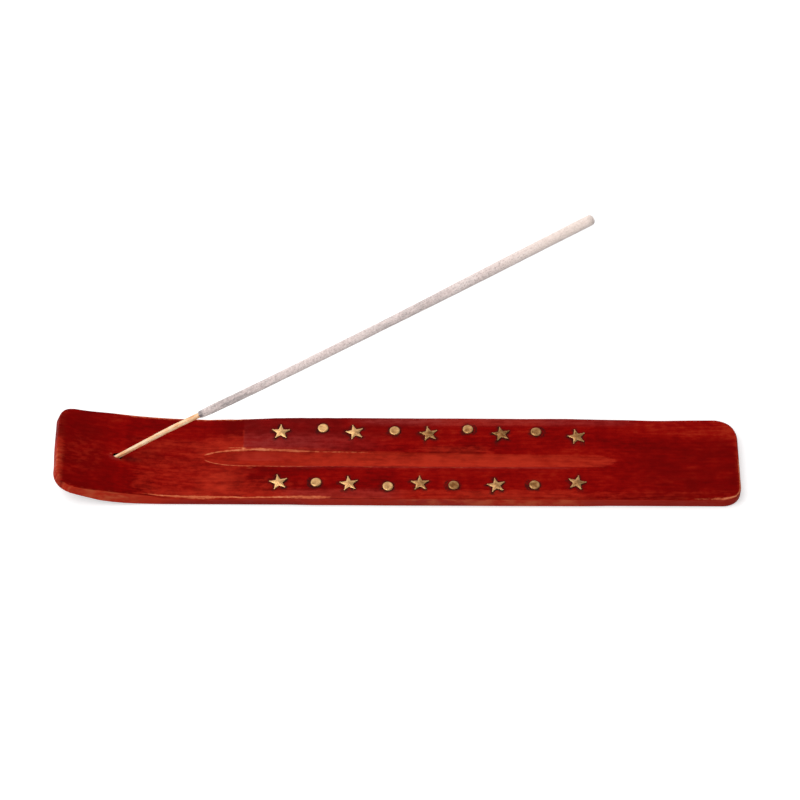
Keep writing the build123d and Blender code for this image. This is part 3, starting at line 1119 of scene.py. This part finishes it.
        # Painted sheen, standing in for the lacquer's reflection of the light, past the tool line.
        past_line = (1 - self.toeward) * rise(x, 5, -45) * rise(y, 2.0, 5.5)
        past_line *= 0.8 - 0.65 * rise(y, 8, 13)
        # Painted sheen along both long edges.
        far_edge = (0.9 - 0.25 * rise(x, 10, 30)) * rise(y, 14.2, 17.4) * stretch(x, -8, 80, 14)
        near_edge = 0.5 * rise(-y, 13.5, 16.5) * stretch(x, -36, -6, 12)
        lower_rim = 0.9 * spot(inside, 0.1, 0.4) * ~self.behind * stretch(x, -40, 58, 10)
        back_wall = 0.35 * spot(x, -51, 8) * self.behind * rise(inside, 0.5, 1.2)
        lip = 0.9 * self.form.torn_lip(x, y)
        dull = np.maximum.reduce([past_line, far_edge, near_edge, lower_rim, back_wall, lip])
        # Painted reflection of the white floor on the upright sides.
        sides = 0.55 * rise(x, -104, -60) + along(x, (0.2, 6, 22, 8), (-0.4, 38, 62, 8))
        return np.maximum(dull * (self.facing > 0.2), self.upright * sides + 0.4 * self.low_side)

    def end_grain(self) -> Array:
        """Where bare grain shows: at the toe's rim, the ends and two stretches of the near side.

        Returns:
            One value for each vertex.
        """
        x, y = self.x, self.y
        toe_rim = rise(x, -122.4, -126.6) * (0.15 + 0.5 * stretch(y, -17, -5, 5))
        ends = 0.6 * rise(self.lean_x, 0.5, 0.8)
        near_side = 0.75 * stretch(x, 8, 62, 10) + 0.8 * rise(x, -92, -102)
        return np.maximum.reduce([toe_rim, ends, self.upright * (y < 0) * near_side])

    def recess(self) -> Array:
        """Where the wood is dark: in the gaps round the inlays, with painted shadow to their lower left, as
        painted shade inside the hole, as the stick's painted shadow beside the hole, and along the near lower
        edge.

        Returns:
            One value for each vertex.
        """
        x, y, z = self.x, self.y, self.z
        lower_edge = 0.25 * spot(self.facing, 0.93, 0.06) * rise(-y, 16.5, 17.5) * stretch(x, 38, 100, 8)
        # Painted shade inside the hole.
        bore = np.hypot(x - self.form.hole[0], y - self.form.hole[1]) < 6
        bore &= (z > 1) & (z < self.form.top(x) - 0.2)
        # Painted shadow of the stick on the board beside the hole.
        stick_shadow = 0.4 * self.blot(-99, -2.4, 3.5, 1.1)
        crescents = self.crescents() * (self.facing > 0.5)
        return np.maximum.reduce([self.inlay_gaps(), crescents, lower_edge, stick_shadow, bore])

    def crescents(self) -> Array:
        """How dark the wood is where a few dots sit beside the middle of their drilled pockets.

        Returns:
            One value for each vertex.
        """
        dark = np.zeros(len(self.places))
        for node, side in self.loose_dots.items():
            seat = Seat.of_node(node, 1).middle / MM
            away = np.hypot(self.x - seat.x - 0.6 * side, self.y - seat.y)
            crescent = spot(away, 2.6, 0.3) * rise((self.x - seat.x) * side, 1.0, 2.4)
            dark = np.maximum(dark, 0.95 * crescent)
        return dark

    def inlay_gaps(self) -> Array:
        """How dark the gap round each inlay is, with a ragged outer edge and painted shadow that reaches
        further to its lower left.

        Returns:
            One value for each vertex.
        """
        first, last = self.form.inlay_stretch
        rows = (self.x > first) & (self.x < last) & (self.z > 2)
        rows &= np.abs(np.abs(self.y) - self.form.inlay_row) < 5.5
        flat = [Vector((x, y, 0)) for x, y in self.places[:, :2]]
        deep = np.flatnonzero(rows & (self.z < self.form.bed - 0.35))
        tree = KDTree(len(deep))
        for index in deep:
            tree.insert(flat[index], int(index))
        tree.balance()
        specks = rough_field(self.places, (1.3, 0.9, 30.0), 7.7)
        reach = np.maximum(0.58 + 0.4 * self.patch + 0.45 * specks, 0.15)
        dark = np.zeros(len(self.places))
        for index in np.flatnonzero(rows):
            # The shifted search paints shadow on each inlay's lower left.
            gap = min(tree.find(flat[index])[2], tree.find(flat[index] + self.smudge)[2] + 0.25)
            dark[index] = spot(gap, 0, reach[index])
        return dark * np.clip(0.75 + 0.6 * specks, 0.3, 0.95)


@dataclass
class Tray:
    """The board: a finely divided copy of its solid, sanded by hand and marked where the dye is worn and
    where light and shade are painted into its colour.

    Its sizes are in millimetres; a band of cuts is given as its start, its end and its step.
    """

    node: str = "tray"
    form: BoardForm = field(default_factory=BoardForm)
    long_step: float = 1.6
    fine_step: float = 0.6
    hole_cuts: Triple = (-4, 2.2, 0.4)
    line_cuts: tuple[float, ...] = (-0.6, -0.25, 0.0, 0.25, 0.6)
    edge_cuts: Triple = (0.2, 2.4, 0.3)
    top_cuts: tuple[Triple, ...] = ((-16.4, -7.2, 0.6), (-6.6, 5.2, 0.28), (7.6, 16.5, 0.6))

    def build(self, finish: Finish) -> Piece:
        """Models, marks and dresses the board.

        Args:
            finish: The wood's finish.

        Returns:
            The finished piece.
        """
        tray = bpy.data.objects.new("tray_wood", frame["nodes"][self.node].data.copy())
        bpy.context.scene.collection.objects.link(tray)
        self.divide(tray)
        Sanding(self.form, tray.data).sand()
        self.soften_rim(tray)
        BoardMarks(self.form, tray.data).leave()
        shade_by_angle(tray, 40)
        finish_piece(tray, finish.material(), Body.HOLDER, self.node)
        return tray

    def divide(self, tray: Piece) -> None:
        """Merges the copied mesh and cuts its top and sides into small faces.

        Args:
            tray: The copy of the board's mesh.
        """
        first, last = self.form.groove_tip, self.form.inlay_stretch[1]
        end, side = self.form.half_length, self.form.half_width
        hole_start, hole_end, hole_step = self.hole_cuts
        lengthwise = [
            *np.arange(-end + 0.5, first, self.long_step),
            *np.arange(first, last, self.fine_step),
            *np.arange(last, end, self.long_step),
            *(self.form.tool_line + np.array(self.line_cuts)),
            *np.arange(self.form.hole[0] + hole_start, self.form.hole[0] + hole_end, hole_step),
        ]
        edges = np.arange(*self.edge_cuts)
        across = [*(side - edges), *(edges - side)]
        for band in self.top_cuts:
            across += [*np.arange(*band)]
        with editing(tray):
            bpy.ops.mesh.select_all(action="SELECT")
            bpy.ops.mesh.remove_doubles(threshold=MERGE)
            bpy.ops.mesh.customdata_custom_splitnormals_clear()
            bpy.ops.mesh.mark_sharp(clear=True)
            bpy.ops.mesh.dissolve_limited(angle_limit=radians(0.3))
            select(tray, Part.FACE, lambda face: face.normal.z < -0.3)
            bpy.ops.mesh.hide()
            slice_across(tray, Vector((1, 0, 0)), np.array(lengthwise) * MM)
            slice_across(tray, Vector((0, 1, 0)), np.array(across) * MM)
            bpy.ops.mesh.reveal(select=False)

    def soften_rim(self, tray: Piece) -> None:
        """Softens the groove's rim.

        Args:
            tray: The sanded board.
        """
        x, y, _ = (places_of(tray.data) / MM).T
        rim = spot(self.form.inside_groove(x, y), 0, 0.5) * (normals_of(tray.data)[:, 2] > 0.4)
        group = tray.vertex_groups.new(name="rim")
        for index in np.flatnonzero(rim > 0.05):
            group.add([int(index)], float(rim[index]), "REPLACE")
        smooth = tray.modifiers.new("soften_rim", "SMOOTH")
        smooth.vertex_group = group.name
        smooth.factor = 0.5
        smooth.iterations = 2
        apply_modifiers(tray)
        tray.vertex_groups.clear()


@dataclass
class BrassInlays:
    """Ten stars and eight dots of sheet brass, each set by hand in its pocket."""

    points: int = 5
    star_radius: float = 3.52 * MM
    waist_share: float = 0.43
    dot_radius: float = 2.0 * MM
    thickness: float = 1.1 * MM
    edge: float = 0.2 * MM
    pillow: float = 0.16 * MM
    dish: float = 0.05 * MM
    tilt: float = 2.5
    # How dull each inlay is, from the left end of each row: the low values leave the left-hand inlays bright
    # as a painted reflection of the light at the back left, and the higher ones stand for tarnish.
    star_tarnish_and_reflection: dict[str, tuple[float, ...]] = field(
        default_factory=lambda: {"back": (0.0, 0.08, 0.62, 0.82, 0.6), "front": (0.12, 0.22, 0.5, 0.4, 0.52)}
    )
    dot_tarnish_and_reflection: dict[str, tuple[float, ...]] = field(
        default_factory=lambda: {"back": (0.2, 0.45, 0.56, 0.66), "front": (0.26, 0.27, 0.8, 0.7)}
    )

    def build(self, finish: Finish) -> list[Piece]:
        """Models one star and one dot, and sets a copy of them in each pocket.

        Args:
            finish: The brass.

        Returns:
            The finished inlays.
        """
        material = finish.material()
        chance = random.Random(5)
        inlays = []
        for kind, model, points, tarnish in (
            ("star", self.model_star(), self.points, self.star_tarnish_and_reflection),
            ("dot", self.model_dot(), 1, self.dot_tarnish_and_reflection),
        ):
            for row, ages in tarnish.items():
                for number, age in enumerate(ages, 1):
                    node = f"{row}_{kind}_{number}"
                    inlay = bpy.data.objects.new(f"{node}_brass", model.data.copy())
                    bpy.context.scene.collection.objects.link(inlay)
                    inlay.data.transform(self.setting(Seat.of_node(node, points), chance))
                    leave_mark(inlay.data, Mark.TARNISH, self.tarnish(model, age))
                    finish_piece(inlay, material, Body.HOLDER, node)
                    inlays.append(inlay)
            bpy.data.objects.remove(model)
        return inlays

    def tarnish(self, model: Piece, age: float) -> Array:
        """How dull an inlay is: most in its middle, least on its rubbed edges, and low on the whole where the
        inlay is given a painted reflection of the light.

        Args:
            model: The inlay before it is set.
            age: How dull it is on the whole: its tarnish, kept low where it is given a painted reflection.

        Returns:
            One value for each vertex.
        """
        places = places_of(model.data)
        middle = spot(np.hypot(places[:, 0], places[:, 1]), 0, 0.6 * self.dot_radius)
        return age * (0.75 + 0.6 * middle) + 0.12 * middle

    def setting(self, seat: Seat, chance: random.Random) -> Matrix:
        """Where an inlay goes, a little tilted by the hand that pressed it in.

        Args:
            seat: The inlay's seat.
            chance: Source of the tilts.

        Returns:
            The matrix from the model to its place.
        """
        lean = radians(chance.uniform(-self.tilt, self.tilt))
        nod = radians(chance.uniform(-self.tilt, self.tilt))
        place = Matrix.Translation(seat.middle + UP * (seat.top - self.thickness))
        turn = Matrix.Rotation(seat.turn - pi / 2, 4, "Z")
        return place @ Matrix.Rotation(lean, 4, "X") @ Matrix.Rotation(nod, 4, "Y") @ turn

    def model_star(self) -> Piece:
        """Models a soft-edged star with one point towards +Y, standing on the origin.

        Returns:
            The star.
        """
        bpy.ops.object.select_all(action="DESELECT")
        bpy.ops.mesh.primitive_circle_add(vertices=2 * self.points, radius=self.star_radius, fill_type="NGON")
        star = bpy.context.object
        step = pi / self.points

        def is_waist(vertex: bmesh.types.BMVert) -> bool:
            """Whether a corner lies between two points."""
            return round((atan2(vertex.co.y, vertex.co.x) - pi / 2) / step) % 2 == 1

        with editing(star):
            select(star, Part.CORNER, is_waist)
            bpy.ops.transform.resize(value=(self.waist_share, self.waist_share, 1), center_override=(0, 0, 0))
            bpy.ops.mesh.select_mode(type="FACE")
            bpy.ops.mesh.select_all(action="SELECT")
            bpy.ops.mesh.normals_make_consistent(inside=False)
            rim = self.thickness - self.pillow - self.edge / 2
            bpy.ops.mesh.extrude_region_move(TRANSFORM_OT_translate={"value": (0, 0, rim)})
            reach = self.star_radius * (1 + self.waist_share) / 2
            select(
                star,
                Part.EDGE,
                lambda edge: abs(edge.verts[0].co.z - edge.verts[1].co.z) > self.edge
                and edge.verts[0].co.xy.length > reach,
            )
            bpy.ops.mesh.bevel(offset=0.2 * MM, segments=3, affect="EDGES")
            bpy.ops.mesh.select_all(action="SELECT")
            bpy.ops.mesh.normals_make_consistent(inside=False)
            for thickness, depth in ((0.07 * MM, 0.07 * MM), (0.1 * MM, 0.03 * MM)):
                select(star, Part.FACE, lambda face: face.normal.z > 0.9 and len(face.verts) > 6)
                bpy.ops.mesh.inset(thickness=thickness, depth=depth)
            bpy.ops.mesh.poke(offset=0.0)
            select(
                star, Part.CORNER, lambda corner: corner.co.xy.length < 0.1 * MM and corner.co.z > self.edge
            )
            bpy.ops.transform.translate(value=(0, 0, self.pillow))
        shade_by_angle(star, 35)
        return star

    def model_dot(self) -> Piece:
        """Models a flat-headed stud with a rounded rim and a slightly dished top.

        Returns:
            The dot, standing on the origin.
        """
        bpy.ops.object.select_all(action="DESELECT")
        bpy.ops.mesh.primitive_cylinder_add(
            vertices=40, radius=self.dot_radius, depth=self.thickness, location=(0, 0, self.thickness / 2)
        )
        dot = bpy.context.object
        with editing(dot):
            select(dot, Part.EDGE, lambda edge: min(vertex.co.z for vertex in edge.verts) > self.edge)
            bpy.ops.mesh.bevel(offset=0.36 * MM, segments=4, affect="EDGES")
            select(dot, Part.FACE, lambda face: face.normal.z > 0.9 and len(face.verts) > 6)
            bpy.ops.mesh.inset(thickness=0.5 * MM, depth=-self.dish)
            bpy.ops.mesh.inset(thickness=0.7 * MM, depth=-self.dish / 2)
        bpy.ops.object.transform_apply(location=True)
        shade_by_angle(dot, 50)
        return dot


@dataclass
class IncenseStick:
    """A bamboo splint and the paste rolled on it."""

    splint_node: str = "bamboo_splint"
    coating_node: str = "incense_coating"
    splint_radius: float = 1.0 * MM
    bare: float = 45.2 * MM
    lip_radius: float = 1.38 * MM
    lower_radius: float = 1.60 * MM
    head_radius: float = 1.86 * MM
    tip: float = 1.25 * MM
    sides: int = 32
    splint_step: float = 1.5 * MM
    hidden_step: float = 5 * MM
    coat_step: float = 1.1 * MM
    lip_cuts: tuple[float, ...] = (0.15 * MM, 0.35 * MM, 0.6 * MM)
    tip_cuts: tuple[float, ...] = (0.95, 0.8, 0.6, 0.4, 0.22, 0.1, 0.03)
    bend_heights: tuple[float, ...] = (0, 5, 18, 31, 40, 52, 66, 88, 110, 140, 165, 190, 220)
    bend_rises: tuple[float, ...] = (
        0.08, 0.15, 0.42, 0.66, 0.52, 0.12, -0.25, -0.5, -0.6, -0.64, -0.46, -0.2, 0.02
    )

    def __post_init__(self) -> None:
        """Reads the stick's axis and length from the frame."""
        joint = frame["joints"][0]
        self.axis = Vector(joint["axis"]).normalized()
        splint = places_of(frame["nodes"][self.splint_node].data)
        coating = places_of(frame["nodes"][self.coating_node].data)
        reach = splint @ np.array(self.axis)
        foot_ring = np.unique(np.round(splint[reach < reach.min() + 0.05 * MM], 7), axis=0)
        self.foot = Vector(foot_ring.mean(axis=0))
        self.length = float((coating @ np.array(self.axis)).max() - reach.min())
        self.splint_length = float(reach.max() - reach.min())
        across = Vector((0, 1, 0))
        turned = Matrix((across, self.axis.cross(across), self.axis)).transposed()
        self.placing = Matrix.Translation(self.foot) @ turned.to_4x4()

    def build(self, cane: Finish, paste: Finish) -> list[Piece]:
        """Models and dresses the splint and its coating.

        Args:
            cane: The splint's finish.
            paste: The coating's finish.

        Returns:
            The two pieces.
        """
        splint = self.model_splint()
        finish_piece(splint, cane.material(), Body.STICK, self.splint_node)
        coating = self.model_coating()
        finish_piece(coating, paste.material(), Body.STICK, self.coating_node)
        return [splint, coating]

    def rod(self, name: str, radius: float, start: float, stop: float, cuts: Sequence[float]) -> Piece:
        """Adds a rod on the stick's axis, upright on the origin, cut into rings.

        Args:
            name: Name of the piece.
            radius: Radius of the rod.
            start: Distance of its lower end from the stick's foot.
            stop: Distance of its upper end from the stick's foot.
            cuts: Distances of the cuts from the stick's foot.

        Returns:
            The rod.
        """
        bpy.ops.object.select_all(action="DESELECT")
        bpy.ops.mesh.primitive_cylinder_add(
            vertices=self.sides, radius=radius, depth=stop - start, location=(0, 0, (start + stop) / 2)
        )
        rod = bpy.context.object
        rod.name = name
        bpy.ops.object.transform_apply(location=True)
        with editing(rod):
            slice_across(rod, UP, cuts)
        return rod

    def bend(self, heights: Array) -> Array:
        """How far the stick lies above its straight axis, since no cane is quite straight.

        Args:
            heights: Distances from the stick's foot.

        Returns:
            The rise at each of them.
        """
        spread = np.linspace(-6, 6, 7)[:, None]
        return np.interp(heights / MM + spread, self.bend_heights, self.bend_rises).mean(axis=0) * MM

    def put(self, piece: Piece, degrees: float) -> None:
        """Bends an upright piece with the stick, lays it on the stick's axis and shades it.

        Args:
            piece: The piece, standing on the stick's foot at the origin.
            degrees: The least angle of an edge that stays sharp.
        """
        places = places_of(piece.data)
        places[:, 1] += self.bend(places[:, 2])
        move_to(piece.data, places)
        piece.data.transform(self.placing)
        shade_by_angle(piece, degrees)

    def model_splint(self) -> Piece:
        """Models the splint: a split cane with flattened, uneven sides.

        Returns:
            The splint in its place.
        """
        hidden = self.bare + 4 * MM
        cuts = [
            *np.arange(self.splint_step, hidden, self.splint_step),
            *np.arange(hidden, self.splint_length - MM, self.hidden_step),
        ]
        splint = self.rod("splint_bamboo", self.splint_radius, 0.0, self.splint_length, cuts)
        places = places_of(splint.data)
        height = places[:, 2]
        angle = np.arctan2(places[:, 1], places[:, 0])
        rings = np.column_stack((np.cos(angle), np.sin(angle), height / (14 * MM)))
        flats = 0.05 * np.cos(4 * angle + 0.6) + 0.05 * rough_field(rings, (0.9, 0.9, 1.0), 2.5)
        shown = rise(height, 4 * MM, 8 * MM) * rise(height, self.bare + 2 * MM, self.bare)
        taper = 0.8 + 0.18 * rise(height, 6 * MM, self.bare - 8 * MM)
        places[:, :2] *= (taper * (1 - shown * np.maximum(0.05 + flats, 0)))[:, None]
        # Painted shade on the splint's underside.
        leave_mark(splint.data, Mark.SOOT, 0.6 * rise(-np.sin(angle), 0.3, 0.95))
        move_to(splint.data, places)
        self.put(splint, 50)
        return splint

    def model_coating(self) -> Piece:
        """Models the coating: a lumpy rolled tube with a torn lower lip, a rounded tip and a bore.

        Returns:
            The coating in its place.
        """
        top = self.length
        cuts = [
            *(self.bare + np.array(self.lip_cuts)),
            *np.arange(self.bare + self.coat_step, top - self.tip, self.coat_step),
            *(top - self.tip * np.array(self.tip_cuts)),
        ]
        coating = self.rod("coating_paste", self.lower_radius, self.bare, top, cuts)
        self.roll(coating.data)
        bore = self.splint_length - self.bare
        bore_rings = int(bore / self.hidden_step)
        with editing(coating):
            select(coating, Part.FACE, lambda face: face.normal.z < -0.7 and len(face.verts) > 6)
            bpy.ops.mesh.inset(thickness=0.12 * MM)
            for _ in range(bore_rings):
                bpy.ops.mesh.extrude_region_move(TRANSFORM_OT_translate={"value": (0, 0, bore / bore_rings)})
        self.mark_coating(coating.data)
        self.put(coating, 60)
        return coating

    def roll(self, mesh: Mesh) -> None:
        """Rolls the coating's rod into its lumpy form, thicker upwards and torn at the lip.

        Args:
            mesh: The upright rod, cut into rings.
        """
        places = places_of(mesh)
        height = places[:, 2].copy()
        angle = np.arctan2(places[:, 1], places[:, 0])
        rings = np.column_stack((np.cos(angle), np.sin(angle), height / (7 * MM)))
        thicker = rise(height, self.bare, self.bare + 7 * MM)
        fatter = rise(height, self.bare + 80 * MM, self.length - 40 * MM)
        radius = self.lip_radius + (self.lower_radius - self.lip_radius) * thicker
        radius += (self.head_radius - self.lower_radius) * fatter
        radius *= 1 + 0.035 * rough_field(rings, (0.8, 0.8, 1.0), 6.4)
        radius *= 1 + 0.03 * rough_field(rings, (0.3, 0.3, 0.25), 9.9)
        reach = np.clip((height - (self.length - self.tip)) / self.tip, 0, 1)
        radius *= np.sqrt(np.maximum(1 - reach**2 * 0.96, 0))
        lip = rise(height, self.bare + 0.5 * MM, self.bare)
        radius *= 1 - 0.1 * lip
        places[:, 0] = radius * np.cos(angle)
        places[:, 1] = radius * np.sin(angle)
        places[:, 2] += lip * 0.5 * MM * rough_field(rings, (0.5, 0.5, 40.0), 1.1)
        move_to(mesh, places)

    def mark_coating(self, mesh: Mesh) -> None:
        """Leaves the marks that the paste reads: soot below, fresh paste at the tip, painted shade on the top
        side and painted light on the underside.

        Args:
            mesh: The rolled coating, still upright.
        """
        places = places_of(mesh)
        height, top = places[:, 2], self.length
        soot = 0.62 * rise(height, self.bare + 55 * MM, self.bare + 5 * MM)
        soot += 0.6 * rise(height, self.bare + 2.5 * MM, self.bare)
        soot += 0.3 * spot(height, self.bare + 95 * MM, 18 * MM)
        soot += 0.06 * rise(height, top - 20 * MM, top - 60 * MM)
        above = places[:, 1] / np.maximum(np.hypot(places[:, 0], places[:, 1]), MERGE)
        leave_mark(mesh, Mark.SOOT, soot)
        leave_mark(mesh, Mark.WEAR, 0.85 * rise(height, top - 60 * MM, top - 6 * MM))
        # Painted shade on the top side and painted light on the underside, which even out the lamp's shading.
        leave_mark(mesh, Mark.DEPTH, 0.22 * rise(above, -0.3, 0.9))
        leave_mark(mesh, Mark.HAZE, 0.9 * rise(above, 0.3, -0.8))
        leave_mark(mesh, Mark.RECESS, 0.9 * rise(height, self.bare + 2.2 * MM, self.bare + 0.6 * MM))


@dataclass
class Studio:
    """Floor, light and camera."""

    floor_size: float = 12.0
    lamp_place: Vector = field(default_factory=lambda: Vector((-0.45, -0.1, 0.95)))
    lamp_size: float = 1.1
    lamp_power: float = 8.5
    sky_low: float = 0.62
    sky_high: float = 0.11
    panel_light: float = 0.85
    panel_side: Triple = (-0.25, 0.6, 0.76)
    target: Vector = field(default_factory=lambda: Vector((0.742, 31.283, 0.0)) * MM)
    distance: float = 1237.49 * MM
    elevation: float = 50.944
    azimuth: float = -0.083
    roll: float = 0.309
    lens: float = 147.07
    sensor: float = 36.0

    def build(self) -> None:
        """Sets up the floor, the light and the camera."""
        self.lay_floor()
        self.hang_lamp()
        self.paint_world()
        self.place_camera()

    def lay_floor(self) -> None:
        """Lays a wide pale floor under the holder."""
        bpy.ops.object.select_all(action="DESELECT")
        bpy.ops.mesh.primitive_plane_add(size=self.floor_size)
        floor = bpy.context.object
        floor.name = "floor"
        floor.data.materials.append(PaleFloor().material())

    def hang_lamp(self) -> None:
        """Hangs a large soft lamp up on the left."""
        lamp = bpy.data.lights.new("soft_box", "AREA")
        lamp.shape = "DISK"
        lamp.size = self.lamp_size
        lamp.energy = self.lamp_power
        soft_box = bpy.data.objects.new("soft_box", lamp)
        soft_box.location = self.lamp_place
        soft_box.rotation_euler = (-self.lamp_place).to_track_quat("-Z", "Y").to_euler()
        bpy.context.scene.collection.objects.link(soft_box)

    def paint_world(self) -> None:
        """Paints a sky that is bright near the horizon and dim above, with a white panel at the back."""
        graph = ShaderGraph(bpy.data.worlds.new("studio"), "Background")
        bpy.context.scene.world = graph.owner
        direction = graph.coordinates["Generated"]
        height = graph.add("SeparateXYZ", {"Vector": direction})["Z"]
        sky = graph.span(height, 0.3, 0.75, self.sky_low, self.sky_high)
        facing = graph.add("VectorMath", {0: direction, 1: self.panel_side}, operation="DOT_PRODUCT")
        panel = graph.span(facing["Value"], 0.8, 0.97, 0.0, self.panel_light)
        graph.set(Color=(1.0, 1.0, 1.0), Strength=graph.add("Math", {0: sky, 1: panel})["Value"])

    def place_camera(self) -> None:
        """Puts the camera where the photograph was taken from."""
        around, above, tilt = radians(self.azimuth), radians(self.elevation), radians(self.roll)
        back = Vector((sin(around) * cos(above), -cos(around) * cos(above), sin(above)))
        right = Vector((cos(around), sin(around), 0))
        up = back.cross(right)
        level = Matrix((right, up, back)).transposed()
        camera = bpy.data.cameras.new("camera")
        camera.lens = self.lens
        camera.sensor_width = self.sensor
        holder = bpy.data.objects.new("camera", camera)
        holder.matrix_world = Matrix.Translation(self.target + back * self.distance) @ (
            level @ Matrix.Rotation(tilt, 3, "Z")
        ).to_4x4()
        bpy.context.scene.collection.objects.link(holder)
        bpy.context.scene.camera = holder


def clear_startup() -> None:
    """Removes whatever the scene holds besides the frame."""
    kept = {*frame["bodies"].values(), *frame["nodes"].values()}
    for stray in [item for item in bpy.data.objects if item not in kept]:
        bpy.data.objects.remove(stray)


def main() -> None:
    """Builds the holder, its stick and the studio."""
    logging.basicConfig(level=logging.INFO, format="%(name)s: %(message)s")
    clear_startup()
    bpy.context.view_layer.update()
    bpy.context.scene.view_settings.view_transform = "Standard"
    Tray().build(DyedWood())
    BrassInlays().build(Brass())
    IncenseStick().build(Bamboo(), IncensePaste())
    Studio().build()


if __name__ == "__main__":
    main()
